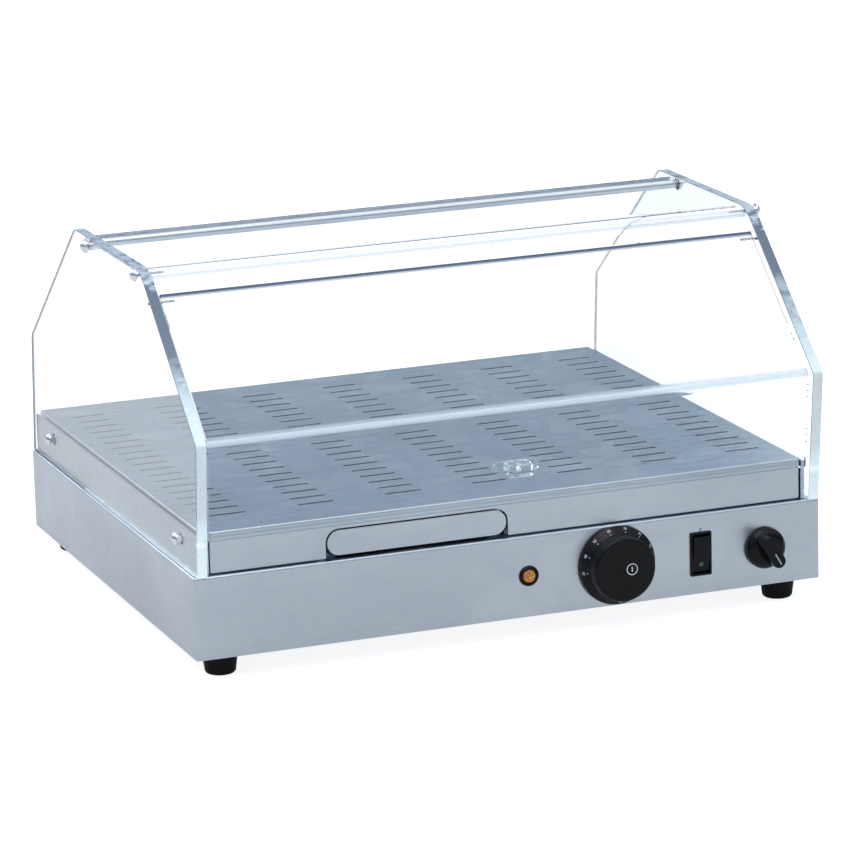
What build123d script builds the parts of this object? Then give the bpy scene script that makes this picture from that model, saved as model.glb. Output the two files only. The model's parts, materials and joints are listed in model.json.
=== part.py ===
"""Counter-top heated display: a stainless base with its controls, a slotted lift-off deck over a
heating element and a water drawer, and a clear hood that is open at the rear and has a lift-up flap.

The origin is on the table at the centre of the base's footprint. +X is the user's right, +Y points to
the rear, +Z is up. All sizes are in millimetres.
"""

import os
from math import asin, atan2, cos, hypot, sin

from build123d import *

os.makedirs("parts", exist_ok=True)

# ---------------------------------------------------------------- driving dimensions
BASE_W, BASE_D, BASE_H = 600, 500, 75  # stainless base box
FOOT_H = 21  # table to the base's lower edge
SHEET = 1.5  # stainless sheet
BASE_RIM_H = 2  # turned-down rim of the top sheet
BASE_WRAP = 3  # front and rear walls, round the corners

DECK_W = 566  # slotted deck plate, side to side
DECK_FRONT, DECK_REAR = -244, 248
DECK_TOP = 134.5
DECK_SKIRT = 10  # side and rear skirts
SLOT_COLUMNS, SLOT_ROWS = 7, 19
SLOT_PITCH_X, SLOT_PITCH_Y = 83, 22
SLOT_LENGTH, SLOT_WIDTH = 34, 3
SLOT_CENTRE_Y = 6.5

PANEL_T = 10  # clear side panels
PANEL_OUT = 298  # outer face of a side panel, from the centre
HOOD_TOP = 345
HOOD_BOTTOM = (-252, 96.4)  # front lower corner of the panel outline, as (y, z)
HOOD_KNEE = (-264, 217)  # front knee
HOOD_FRONT = (-120, HOOD_TOP)  # front top corner, before rounding
HOOD_REAR = (80, HOOD_TOP)  # rear top corner, before rounding
REAR_KNEE = (240, 212)
REAR_BOTTOM = (250, 96.4)
CROWN_R = 40  # rounding of the front top corner

TOP_T = 4  # clear top panel
TOP_RECESS = 1  # its upper face below the side panels' top edges
LIP_END = 25.6  # lower edge of its front lip, down the slope from the front top corner
LIP_REAR_Y = 50  # where its rear lip starts
LIP_REAR = 16
FLAP_T = 5
FLAP_RECESS = 3  # outer face of the flap and of the lips, behind the side panels' edges
FLAP_BOTTOM = 127.5
FLAP_HALF_W = 285.5
FLAP_STUB = 7  # hinge axis to the flap's upper edge
LIP_REACH = 8  # hinge axis to the lip's lower edge

TRAY_X = -89.7  # centre of the water drawer
TRAY_W, TRAY_LEN, TRAY_H = 164, 390, 14
PULL_W, PULL_H, PULL_Z = 169.5, 23, 110.3

DIAL = (98, 59)  # control centres on the front, as (x, z)
PILOT = (13, 59)
ROCKER = (181, 58.5)
SELECTOR = (244.5, 56.5)
GLAND = (230, 55)
SHAFT_R = 3
SHAFT_HOLE_R, SHAFT_COLLAR_R = 5.3, 5
PILOT_HOLE_R, PILOT_BARREL_R, PILOT_BEZEL_R, PILOT_LENS_R = 7, 6.9, 9.4, 5.8
ROCKER_W, ROCKER_H = 21, 41  # bezel of the rocker switch
ROCKER_CUT_W, ROCKER_CUT_H = 18.8, 38.8
ROCKER_WELL_W, ROCKER_WELL_H = 17, 37
ROCKER_PIVOT_OUT = -2.5
ROCKER_TILT = 8  # half of the rocker's travel, in degrees
DIAL_R, SELECTOR_R = 36.5, 19
DIAL_DEPTH, SELECTOR_DEPTH = 21.8, 23
GLAND_THREAD_R, GLAND_BORE_R = 8, 4.2
FIT = 0.05  # radial running fit of a pin or shaft

# ---------------------------------------------------------------- derived places
BASE_TOP = FOOT_H + BASE_H
SEAT_Z = BASE_TOP + 0.2  # folded parts stand here, a paint film's gap above the base
FRONT = -BASE_D / 2
REAR = BASE_D / 2
PANEL_IN = PANEL_OUT - PANEL_T
RISER_OUT, RISER_T = PANEL_IN - 0.3, 2.5  # folded side walls under the deck
RISER_TOP = DECK_TOP - SHEET - 1.5
RISER_H = RISER_TOP - SEAT_Z
FASCIA_BOTTOM = BASE_TOP + 1.2
SKIRT_BOTTOM = DECK_TOP - DECK_SKIRT
FOOT_AT = [(x, y) for x in (-270, 270) for y in (-222, 222)]
BOTTOM_Z = FOOT_H + 0.6  # underside of the bottom pan
BOTTOM_T = 1.2

SLOPE = atan2(HOOD_FRONT[1] - HOOD_KNEE[1], HOOD_FRONT[0] - HOOD_KNEE[0])

SIDE_SCREW_Y, SIDE_SCREW_Z = 195, 118
ROD_Y, ROD_Z, ROD_R = 41, 335.8, 4
ELEMENT_R, ELEMENT_Z = 3.5, 120.5
ELEMENT_RUNS = (215, 130, 45, -45, -130, -215)
ELEMENT_REAR = 195  # where both cold ends turn down into the base
COLD_END_X = ELEMENT_RUNS[0] - 40
COLD_END_Z = 60
CAPILLARY_Y = -222
BRACKET_YS = (-100, 100)
BRACKET_TOP = ELEMENT_Z - ELEMENT_R - 0.2
BRACKET_T, BRACKET_W = 2, 12


# ---------------------------------------------------------------- helpers
def front_plane(x, z, out=0.0):
    """Plane on the base's front, its normal towards the user, OUT mm proud of the sheet."""
    return Plane(origin=(x, FRONT - out, z), x_dir=(1, 0, 0), z_dir=(0, -1, 0))


def turned_plane(x, z):
    """Plane through a control's axis: local x is the radius, local y is minus the distance out."""
    return Plane(origin=(x, FRONT, z), x_dir=(1, 0, 0), z_dir=(0, 0, 1))


def front_axis(x, z):
    return Axis((x, FRONT, z), (0, 1, 0))


def side_plane(x):
    """Plane across the object at X: local x is +Y, local y is +Z, its normal is +X."""
    return Plane(origin=(x, 0, 0), x_dir=(0, 1, 0), z_dir=(1, 0, 0))


def beside(start, towards, distance, depth=0.0):
    """Point DISTANCE along the edge from START, moved DEPTH to the edge's right."""
    step = Vector(towards[0] - start[0], towards[1] - start[1]).normalized()
    y = start[0] + step.X * distance + step.Y * depth
    return (y, start[1] + step.Y * distance - step.X * depth)


def inset(before, corner, after, depth, depth_after):
    """Where the edges that meet at CORNER cross once each is moved to its right by its own depth."""
    p, q = beside(before, corner, 0, depth), beside(corner, after, 0, depth_after)
    a = Vector(corner[0] - before[0], corner[1] - before[1]).normalized()
    b = Vector(after[0] - corner[0], after[1] - corner[1]).normalized()
    reach = ((q[0] - p[0]) * b.Y - (q[1] - p[1]) * b.X) / (a.X * b.Y - a.Y * b.X)
    return (p[0] + a.X * reach, p[1] + a.Y * reach)


def distance(p, q):
    return hypot(q[0] - p[0], q[1] - p[1])


# ---------------------------------------------------------------- base
# Folded shell: four walls, and a top sheet whose turned-down rim is welded to them.
with BuildPart() as base_shell:
    with BuildSketch(Plane.XY.offset(FOOT_H)):
        RectangleRounded(BASE_W, BASE_D, 3)
    extrude(amount=BASE_H)
    fillet(base_shell.faces().sort_by(Axis.Z)[-1].edges(), 2)
    offset(amount=-SHEET, openings=base_shell.faces().sort_by(Axis.Z)[0])
    for at, hole_r in ((DIAL, SHAFT_HOLE_R), (SELECTOR, SHAFT_HOLE_R), (PILOT, PILOT_HOLE_R)):
        with BuildSketch(front_plane(*at)):
            Circle(hole_r)
        extrude(amount=-2 * SHEET, mode=Mode.SUBTRACT)
    with BuildSketch(front_plane(*ROCKER)):
        Rectangle(ROCKER_CUT_W, ROCKER_CUT_H)
    extrude(amount=-2 * SHEET, mode=Mode.SUBTRACT)
    with BuildSketch(Plane.XZ.offset(-REAR)):
        with Locations(GLAND):
            Circle(GLAND_THREAD_R + 0.2)
        with Locations((0, FOOT_H + BASE_H / 2)):
            with GridLocations(12, 1, 16, 1):
                SlotOverall(34, 4, rotation=90)
    extrude(amount=2 * SHEET, mode=Mode.SUBTRACT)
    # holes for the element's two cold ends and for the thermostat's capillary
    with BuildSketch(Plane.XY.offset(BASE_TOP)):
        with Locations((ELEMENT_RUNS[0], ELEMENT_REAR), (COLD_END_X, ELEMENT_REAR)):
            Circle(6.2)
        with Locations((DIAL[0], CAPILLARY_Y)):
            Circle(3)
    extrude(amount=-2 * SHEET, mode=Mode.SUBTRACT)

# its walls, the front and rear ones turned round the corners
for name, x, y, width, depth in (
    ("base_front", 0, -BASE_D / 2, BASE_W, 2 * BASE_WRAP),
    ("base_rear", 0, BASE_D / 2, BASE_W, 2 * BASE_WRAP),
    ("base_left", -BASE_W / 2, 0, 2 * BASE_WRAP, BASE_D - 2 * BASE_WRAP),
    ("base_right", BASE_W / 2, 0, 2 * BASE_WRAP, BASE_D - 2 * BASE_WRAP),
):
    with BuildPart() as base_wall:
        add(base_shell.part)
        with BuildSketch(Plane.XY.offset(FOOT_H)):
            with Locations((x, y)):
                Rectangle(width, depth)
        extrude(amount=BASE_H - BASE_RIM_H, mode=Mode.INTERSECT)
    base_wall.part.label = name
    export_step(base_wall.part, f"parts/{name}.step")

with BuildPart() as base_top:
    add(base_shell.part)
    split(bisect_by=Plane.XY.offset(BASE_TOP - BASE_RIM_H), keep=Keep.TOP)
base_top.part.label = "base_top"
export_step(base_top.part, "parts/base_top.step")

with BuildPart() as bottom_pan:
    with BuildSketch(Plane.XY.offset(BOTTOM_Z)):
        RectangleRounded(BASE_W - 2 * SHEET - 0.6, BASE_D - 2 * SHEET - 0.6, 1.6)
    extrude(amount=14)
    offset(amount=-BOTTOM_T, openings=bottom_pan.faces().sort_by(Axis.Z)[-1])
    with BuildSketch(Plane.XY.offset(BOTTOM_Z)):
        with GridLocations(24, 160, 17, 2):
            SlotOverall(60, 5, rotation=90)
        with Locations(*FOOT_AT):
            Circle(2.7)
    extrude(amount=2 * BOTTOM_T, mode=Mode.SUBTRACT)
bottom_pan.part.label = "bottom_pan"
export_step(bottom_pan.part, "parts/bottom_pan.step")

with BuildPart() as rubber_feet:
    for x, y in FOOT_AT:
        with BuildSketch(Plane(origin=(x, y, 0), x_dir=(1, 0, 0), z_dir=(0, -1, 0))):
            with BuildLine():
                Polyline((0, 9), (5.2, 9), (5.2, 0), (10.5, 0))
                RadiusArc((10.5, 0), (14, 3.5), -3.5)
                Polyline((14, 3.5), (16.5, BOTTOM_Z), (0, BOTTOM_Z), (0, 9))
            make_face()
        revolve(axis=Axis((x, y, 0), (0, 0, 1)))
        with BuildSketch(Plane(origin=(x, y, 0))):
            Circle(2.6)
        extrude(amount=BOTTOM_Z, mode=Mode.SUBTRACT)
rubber_feet.part.label = "rubber_feet"
export_step(rubber_feet.part, "parts/rubber_feet.step")

with BuildPart() as foot_screws:
    for x, y in FOOT_AT:
        with BuildSketch(Plane(origin=(x, y, 5.6))):
            Circle(4.6)
        extrude(amount=3.4)
        with BuildSketch(Plane(origin=(x, y, 5.6))):
            Circle(2.5)
        extrude(amount=26)
foot_screws.part.label = "foot_screws"
export_step(foot_screws.part, "parts/foot_screws.step")

with BuildPart() as foot_nuts:
    for x, y in FOOT_AT:
        with BuildSketch(Plane(origin=(x, y, BOTTOM_Z + BOTTOM_T))):
            RegularPolygon(4.6, 6)
            Circle(2.52, mode=Mode.SUBTRACT)
        extrude(amount=4)
foot_nuts.part.label = "foot_nuts"
export_step(foot_nuts.part, "parts/foot_nuts.step")

# ---------------------------------------------------------------- riser under the deck
RISER_FRONT_Y, RISER_REAR_Y = DECK_FRONT, DECK_REAR - SHEET - 1.7
for side, name in ((-1, "riser_left"), (1, "riser_right")):
    with BuildPart() as riser_side:
        wall_mid = side * (RISER_OUT - RISER_T / 2)
        length = RISER_REAR_Y - RISER_FRONT_Y
        with BuildSketch(Plane.XY.offset(SEAT_Z)):
            with Locations((wall_mid, (RISER_REAR_Y + RISER_FRONT_Y) / 2)):
                Rectangle(RISER_T, length)
            # front return, which closes the wall's end beside the deck's front
            with Locations((side * (RISER_OUT - 1.8), RISER_FRONT_Y + SHEET / 2)):
                Rectangle(3.6, SHEET)
        extrude(amount=RISER_H)
        with BuildSketch(Plane.XY.offset(SEAT_Z)):
            with Locations((side * (RISER_OUT - 8), (RISER_REAR_Y + RISER_FRONT_Y) / 2)):
                Rectangle(16, length - 40)
        extrude(amount=SHEET)
        with BuildSketch(side_plane(0)):
            with Locations((-SIDE_SCREW_Y, SIDE_SCREW_Z), (SIDE_SCREW_Y, SIDE_SCREW_Z)):
                Circle(2.55)
        extrude(amount=side * PANEL_OUT, mode=Mode.SUBTRACT)
    riser_side.part.label = name
    export_step(riser_side.part, f"parts/{name}.step")

RISER_CROSS_W = DECK_W - 2 * SHEET - 1.6
with BuildPart() as riser_rear:
    with BuildSketch(Plane.XY.offset(SEAT_Z)):
        with Locations((0, RISER_REAR_Y - SHEET / 2)):
            Rectangle(RISER_CROSS_W, SHEET)
    extrude(amount=RISER_H)
    with BuildSketch(Plane.XY.offset(SEAT_Z)):
        with Locations((0, RISER_REAR_Y - 8)):
            Rectangle(RISER_CROSS_W - 40, 16)
    extrude(amount=SHEET)
riser_rear.part.label = "riser_rear"
export_step(riser_rear.part, "parts/riser_rear.step")

RISER_FRONT_WALL = DECK_FRONT + 8
with BuildPart() as riser_front:
    with BuildSketch(Plane.XZ.offset(-RISER_FRONT_WALL)):
        with Locations((0, (SEAT_Z + RISER_TOP) / 2)):
            Rectangle(RISER_CROSS_W, RISER_H)
        with Locations((TRAY_X, BASE_TOP + 10)):
            Rectangle(TRAY_W + 8, 22, mode=Mode.SUBTRACT)
    extrude(amount=-SHEET)
riser_front.part.label = "riser_front"
export_step(riser_front.part, "parts/riser_front.step")

LEDGE_TOP = SKIRT_BOTTOM - 0.3
for side, name in ((-1, "deck_ledge_left"), (1, "deck_ledge_right")):
    with BuildPart() as deck_ledge:
        with BuildSketch(Plane.XZ.offset(225)):
            with BuildLine():
                outer = side * (RISER_OUT - RISER_T - 0.1)
                Polyline(
                    (outer, LEDGE_TOP),
                    (outer, LEDGE_TOP - 22),
                    (outer - side * SHEET, LEDGE_TOP - 22),
                    (outer - side * SHEET, LEDGE_TOP - SHEET),
                    (outer - side * 20, LEDGE_TOP - SHEET),
                    (outer - side * 20, LEDGE_TOP),
                    close=True,
                )
            make_face()
        extrude(amount=-450)
        with BuildSketch(side_plane(0)):
            with Locations((-SIDE_SCREW_Y, SIDE_SCREW_Z), (SIDE_SCREW_Y, SIDE_SCREW_Z)):
                Circle(4)
        extrude(amount=side * PANEL_OUT, mode=Mode.SUBTRACT)
    deck_ledge.part.label = name
    export_step(deck_ledge.part, f"parts/{name}.step")

# ---------------------------------------------------------------- deck plate
DECK_LEN = DECK_REAR - DECK_FRONT
DECK_MID_Y = (DECK_REAR + DECK_FRONT) / 2
NOTCH_R = 12.6
with BuildPart() as deck_plate:
    with BuildSketch(Plane.XY.offset(FASCIA_BOTTOM)):
        with Locations((0, DECK_MID_Y)):
            RectangleRounded(DECK_W, DECK_LEN, 2)
    extrude(amount=DECK_TOP - FASCIA_BOTTOM)
    fillet(deck_plate.faces().sort_by(Axis.Z)[-1].edges(), 1.8)
    offset(amount=-SHEET, openings=deck_plate.faces().sort_by(Axis.Z)[0])
    # only the front keeps its full drop: the side and rear skirts are short
    with BuildSketch(Plane.XY.offset(FASCIA_BOTTOM - 1)):
        with Locations((0, DECK_MID_Y + 3)):
            Rectangle(DECK_W + 10, DECK_LEN)
    extrude(amount=SKIRT_BOTTOM - FASCIA_BOTTOM + 1, mode=Mode.SUBTRACT)
    # notch for the drawer's pull, open at its lower edge
    notch_w, notch_h = PULL_W + 3, PULL_Z + PULL_H / 2 + 1.4 - FASCIA_BOTTOM
    with BuildSketch(Plane.XZ.offset(-DECK_FRONT)) as notch:
        with Locations((TRAY_X, FASCIA_BOTTOM + notch_h - 30)):
            Rectangle(notch_w, 60)
        fillet(notch.vertices().group_by(Axis.Y)[-1], NOTCH_R)
    extrude(amount=-2 * SHEET, mode=Mode.SUBTRACT)
    with BuildSketch(Plane.XY.offset(DECK_TOP)):
        with Locations((0, SLOT_CENTRE_Y)):
            with GridLocations(SLOT_PITCH_X, SLOT_PITCH_Y, SLOT_COLUMNS, SLOT_ROWS):
                SlotOverall(SLOT_LENGTH, SLOT_WIDTH)
    extrude(amount=-2 * SHEET, mode=Mode.SUBTRACT)
deck_plate.part.label = "deck_plate"
export_step(deck_plate.part, "parts/deck_plate.step")

# ---------------------------------------------------------------- heating element and its supports
with BuildPart() as heating_element:
    corners = [(ELEMENT_RUNS[0], ELEMENT_REAR, COLD_END_Z), (ELEMENT_RUNS[0], ELEMENT_REAR, ELEMENT_Z)]
    front_end, rear_end = -190, 150
    for index, x in enumerate(ELEMENT_RUNS):
        ends = (rear_end, front_end) if index % 2 == 0 else (front_end, rear_end)
        if index > 0:
            corners.append((x, ends[0], ELEMENT_Z))
        if index < len(ELEMENT_RUNS) - 1:
            corners.append((x, ends[1], ELEMENT_Z))
    corners += [(ELEMENT_RUNS[-1], ELEMENT_REAR, ELEMENT_Z)]
    corners += [(COLD_END_X, ELEMENT_REAR, ELEMENT_Z), (COLD_END_X, ELEMENT_REAR, COLD_END_Z)]
    with BuildLine() as element_path:
        FilletPolyline(*corners, radius=16)
    with BuildSketch(Plane(origin=corners[0], z_dir=(0, 0, 1))):
        Circle(ELEMENT_R)
    sweep(path=element_path.line)
heating_element.part.label = "heating_element"
export_step(heating_element.part, "parts/heating_element.step")

with BuildPart() as bracket:
    with BuildSketch(Plane.XY.offset(BRACKET_TOP - BRACKET_T)):
        Rectangle(510, BRACKET_W)
    extrude(amount=BRACKET_T)
    for x in (-254, 60, 254):
        with BuildSketch(Plane.XY.offset(SEAT_Z)):
            with Locations((x, 0)):
                Rectangle(BRACKET_T, BRACKET_W)
        extrude(amount=BRACKET_TOP - SEAT_Z)
        with BuildSketch(Plane.XY.offset(SEAT_Z)):
            with Locations((x - 7 if x > 0 else x + 7, 0)):
                Rectangle(14, BRACKET_W)
        extrude(amount=BRACKET_T)
for y, name in zip(BRACKET_YS, ("element_bracket_front", "element_bracket_rear")):
    with BuildPart() as placed_bracket:
        add(bracket.part.moved(Location((0, y, 0))))
    placed_bracket.part.label = name
    export_step(placed_bracket.part, f"parts/{name}.step")

with BuildPart() as element_clips:
    for y in BRACKET_YS:
        with BuildSketch(Plane.XZ.offset(-y - 4)):
            for x in ELEMENT_RUNS:
                with Locations((x, ELEMENT_Z)):
                    Circle(ELEMENT_R + 1.4)
                with Locations((x, BRACKET_TOP + 0.6)):
                    Rectangle(19, 1.2)
                with Locations((x, ELEMENT_Z)):
                    Circle(ELEMENT_R + 0.1, mode=Mode.SUBTRACT)
            with Locations((0, BRACKET_TOP - 5)):
                Rectangle(500, 10, mode=Mode.SUBTRACT)
        extrude(amount=8)
element_clips.part.label = "element_clips"
export_step(element_clips.part, "parts/element_clips.step")

# ---------------------------------------------------------------- water drawer
TRAY_BOTTOM = BASE_TOP + 2.3
TRAY_FRONT = DECK_FRONT + SHEET
TRAY_T = 1.2
with BuildPart() as water_drawer:
    with BuildSketch(Plane.XY.offset(TRAY_BOTTOM)):
        with Locations((TRAY_X, TRAY_FRONT + TRAY_LEN / 2)):
            RectangleRounded(TRAY_W, TRAY_LEN, 8)
    extrude(amount=TRAY_H)
    fillet(water_drawer.faces().sort_by(Axis.Z)[0].edges(), 3)
    offset(amount=-TRAY_T, openings=water_drawer.faces().sort_by(Axis.Z)[-1])
water_drawer.part.label = "water_drawer"
export_step(water_drawer.part, "parts/water_drawer.step")

with BuildPart() as drawer_pull:
    with BuildSketch(Plane.XZ.offset(-TRAY_FRONT)):
        with Locations((TRAY_X, PULL_Z)):
            SlotOverall(PULL_W, PULL_H)
    extrude(amount=1.8)
    fillet(drawer_pull.faces().sort_by(Axis.Y)[0].edges(), 0.5)
drawer_pull.part.label = "drawer_pull"
export_step(drawer_pull.part, "parts/drawer_pull.step")

with BuildPart() as drawer_rails:
    for side in (-1, 1):
        inner = TRAY_X + side * (TRAY_W / 2 + 0.9)
        with BuildSketch(Plane.XZ.offset(230)):
            with BuildLine():
                Polyline(
                    (inner, TRAY_BOTTOM + 8),
                    (inner, TRAY_BOTTOM - 0.4),
                    (inner - side * 10, TRAY_BOTTOM - 0.4),
                    (inner - side * 10, SEAT_Z),
                    (inner + side * 1.5, SEAT_Z),
                    (inner + side * 1.5, TRAY_BOTTOM + 8),
                    close=True,
                )
            make_face()
        extrude(amount=-420)
        # stop behind the drawer
        with BuildSketch(Plane.XY.offset(SEAT_Z)):
            with Locations((inner - side * 4, TRAY_FRONT + TRAY_LEN + 1.5)):
                Rectangle(9, 1.6)
        extrude(amount=10)
drawer_rails.part.label = "drawer_rails"
export_step(drawer_rails.part, "parts/drawer_rails.step")

# ---------------------------------------------------------------- clear hood
SLOPE_LEN = distance(HOOD_KNEE, HOOD_FRONT)
CROWN_OUT = CROWN_R - 2  # bend of the top panel, outer face
AXIS_AT = SLOPE_LEN - LIP_END - LIP_REACH
HINGE = beside(HOOD_KNEE, HOOD_FRONT, AXIS_AT, FLAP_RECESS + FLAP_T / 2)
PIN_R = 1.25
crown_centre = inset(
    HOOD_KNEE, HOOD_FRONT, HOOD_REAR, FLAP_RECESS + CROWN_OUT, TOP_RECESS + CROWN_OUT
)
CROWN_SCREW = (
    crown_centre[0] - (CROWN_OUT - TOP_T / 2) * sin(SLOPE / 2),
    crown_centre[1] + (CROWN_OUT - TOP_T / 2) * cos(SLOPE / 2),
)
SIDE_SCREWS = ((-SIDE_SCREW_Y, SIDE_SCREW_Z), (SIDE_SCREW_Y, SIDE_SCREW_Z))

for side, name in ((-1, "side_panel_left"), (1, "side_panel_right")):
    with BuildPart() as side_panel:
        with BuildSketch(side_plane(side * PANEL_IN)) as outline:
            with BuildLine():
                Polyline(
                    HOOD_BOTTOM, HOOD_KNEE, HOOD_FRONT, HOOD_REAR, REAR_KNEE, REAR_BOTTOM, close=True
                )
            make_face()
            fillet(outline.vertices().sort_by_distance((*HOOD_FRONT, 0))[0], CROWN_R)
            fillet(outline.vertices().sort_by_distance((*HOOD_REAR, 0))[0], 14)
            for knee in (HOOD_KNEE, REAR_KNEE):
                fillet(outline.vertices().sort_by_distance((*knee, 0))[0], 8)
        extrude(amount=side * PANEL_T)
        chamfer(side_panel.faces().filter_by(Axis.X).edges(), 0.5)
        with BuildSketch(side_plane(side * (PANEL_IN - 1))):
            with Locations(*SIDE_SCREWS):
                Circle(2.8)
            with Locations((ROD_Y, ROD_Z)):
                Circle(3.1)
            with Locations(CROWN_SCREW):
                Circle(1.7)
        extrude(amount=side * (PANEL_T + 2), mode=Mode.SUBTRACT)
        with BuildSketch(side_plane(side * PANEL_IN)):
            with Locations(HINGE):
                Circle(PIN_R + FIT)
        extrude(amount=side * 8, mode=Mode.SUBTRACT)
    side_panel.part.label = name
    export_step(side_panel.part, f"parts/{name}.step")


def bent_sheet(outer, inner, bends):
    """Closed outline of a bent sheet: its outer face, then its inner face back, with rounded bends."""
    with BuildSketch() as sheet:
        with BuildLine():
            Polyline(*outer, *reversed(inner), close=True)
        make_face()
        for corner, radius in bends:
            fillet(sheet.vertices().sort_by_distance((corner[0], corner[1], 0))[0], radius)
    return sheet.sketch


crown = (HOOD_KNEE, HOOD_FRONT, HOOD_REAR)
rear_break = (LIP_REAR_Y, HOOD_TOP)
rear_end_at = (LIP_REAR_Y + REAR_KNEE[0] - HOOD_REAR[0], REAR_KNEE[1])
crown_rear = (HOOD_FRONT, rear_break, rear_end_at)
faces = []
for depth in (0, TOP_T):
    lip, top = FLAP_RECESS + depth, TOP_RECESS + depth
    faces.append(
        (
            beside(HOOD_KNEE, HOOD_FRONT, SLOPE_LEN - LIP_END, lip),
            inset(*crown, lip, top),
            inset(*crown_rear, top, top),
            beside(rear_break, rear_end_at, LIP_REAR, top),
        )
    )
bends = [
    (faces[0][1], CROWN_OUT),
    (faces[1][1], CROWN_OUT - TOP_T),
    (faces[0][2], 9),
    (faces[1][2], 5),
]
TOP_HALF_W = PANEL_IN - 0.3
with BuildPart() as top_panel:
    with BuildSketch(side_plane(-TOP_HALF_W)):
        add(bent_sheet(*faces, bends))
    extrude(amount=2 * TOP_HALF_W)
    for side in (-1, 1):
        with BuildSketch(side_plane(side * (TOP_HALF_W - 14))):
            with Locations(CROWN_SCREW):
                Circle(1.12)
        extrude(amount=side * 20, mode=Mode.SUBTRACT)
top_panel.part.label = "top_panel"
export_step(top_panel.part, "parts/top_panel.step")

upright = (HOOD_BOTTOM, HOOD_KNEE, HOOD_FRONT)
upright_rise = (HOOD_KNEE[1] - HOOD_BOTTOM[1]) / distance(HOOD_BOTTOM, HOOD_KNEE)
flap_foot = (FLAP_BOTTOM - HOOD_BOTTOM[1]) / upright_rise
flap_faces = [
    (
        beside(HOOD_BOTTOM, HOOD_KNEE, flap_foot, depth),
        inset(*upright, depth, depth),
        beside(HOOD_KNEE, HOOD_FRONT, AXIS_AT + FLAP_STUB, depth),
    )
    for depth in (FLAP_RECESS, FLAP_RECESS + FLAP_T)
]
KNOB_AT = beside(HOOD_BOTTOM, HOOD_KNEE, 67.4, FLAP_RECESS)
upright_step = Vector(0, KNOB_AT[0] - flap_faces[0][0][0], KNOB_AT[1] - flap_faces[0][0][1]).normalized()
KNOB_OUT = Vector(0, -upright_step.Z, upright_step.Y)


def knob_plane(out):
    """Plane on the flap's upright part, OUT mm in front of its outer face."""
    origin = Vector(0, *KNOB_AT) + KNOB_OUT * out
    return Plane(origin=origin, x_dir=(1, 0, 0), z_dir=KNOB_OUT)


with BuildPart() as front_flap:
    with BuildSketch(side_plane(-FLAP_HALF_W)):
        add(bent_sheet(*flap_faces, [(flap_faces[0][1], 11), (flap_faces[1][1], 6)]))
    extrude(amount=2 * FLAP_HALF_W)
    for side in (-1, 1):
        with BuildSketch(side_plane(side * (FLAP_HALF_W - 12))):
            with Locations(HINGE):
                Circle(PIN_R)
        extrude(amount=side * 20, mode=Mode.SUBTRACT)
    with BuildSketch(knob_plane(1)):
        Circle(2.1)
    extrude(amount=-FLAP_T - 2, mode=Mode.SUBTRACT)
front_flap.part.label = "front_flap"
export_step(front_flap.part, "parts/front_flap.step")

with BuildPart() as flap_pins:
    for side in (-1, 1):
        with BuildSketch(side_plane(side * (FLAP_HALF_W - 12))):
            with Locations(HINGE):
                Circle(PIN_R)
        extrude(amount=side * (PANEL_IN + 7.6 - FLAP_HALF_W + 12))
flap_pins.part.label = "flap_pins"
export_step(flap_pins.part, "parts/flap_pins.step")

with BuildPart() as flap_knob:
    with BuildSketch(knob_plane(0)):
        SlotOverall(44, 10.5)
    extrude(amount=2.5)
    with BuildSketch(knob_plane(2.5)):
        RectangleRounded(24, 12, 2.5)
    extrude(amount=13.5)
    fillet(flap_knob.faces().sort_by(Axis.Y)[0].edges(), 2)
    with BuildSketch(knob_plane(-1)):
        Circle(1.98)
    extrude(amount=9, mode=Mode.SUBTRACT)
flap_knob.part.label = "flap_knob"
export_step(flap_knob.part, "parts/flap_knob.step")

with BuildPart() as knob_screw:
    with BuildSketch(knob_plane(-FLAP_T)):
        Circle(1.95)
    extrude(amount=FLAP_T + 7.5)
    with BuildSketch(knob_plane(-FLAP_T)):
        Circle(4)
    extrude(amount=-2)
    fillet(knob_screw.faces().sort_by(Axis.Y)[-1].edges(), 1.2)
knob_screw.part.label = "knob_screw"
export_step(knob_screw.part, "parts/knob_screw.step")

with BuildPart() as tie_rod:
    with BuildSketch(side_plane(-PANEL_IN + 0.2)):
        with Locations((ROD_Y, ROD_Z)):
            Circle(ROD_R)
    extrude(amount=2 * PANEL_IN - 0.4)
    with BuildSketch(side_plane(-PANEL_OUT - 3.4)):
        with Locations((ROD_Y, ROD_Z)):
            Circle(3)
    extrude(amount=2 * (PANEL_OUT + 3.4))
tie_rod.part.label = "tie_rod"
export_step(tie_rod.part, "parts/tie_rod.step")


def dome(side, at, radius, height, bore, standoff):
    """Dome head or dome nut on the outer face of a side panel, with an optional blind bore."""
    y, z = at
    ball = (radius**2 + (height - 1) ** 2) / (2 * (height - 1))
    half = asin(radius / ball) / 2
    crest = (ball * sin(half), ball - height - ball * cos(half))
    plane = Plane(origin=(side * (PANEL_OUT + standoff), y, z), x_dir=(0, 1, 0), z_dir=(0, 0, side))
    with BuildPart() as head:
        with BuildSketch(plane):
            with BuildLine():
                Polyline((0, -height), (0, 0), (radius, 0), (radius, -1))
                ThreePointArc((radius, -1), crest, (0, -height))
            make_face()
        revolve(axis=Axis((0, y, z), (1, 0, 0)))
        if bore:
            with BuildSketch(side_plane(side * PANEL_OUT)):
                with Locations(at):
                    Circle(bore)
            extrude(amount=side * (height - 2), mode=Mode.SUBTRACT)
    return head.part


with BuildPart() as rod_nuts:
    for side in (-1, 1):
        add(dome(side, (ROD_Y, ROD_Z), 6.2, 5.6, 3.02, 0))
rod_nuts.part.label = "rod_nuts"
export_step(rod_nuts.part, "parts/rod_nuts.step")

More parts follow.
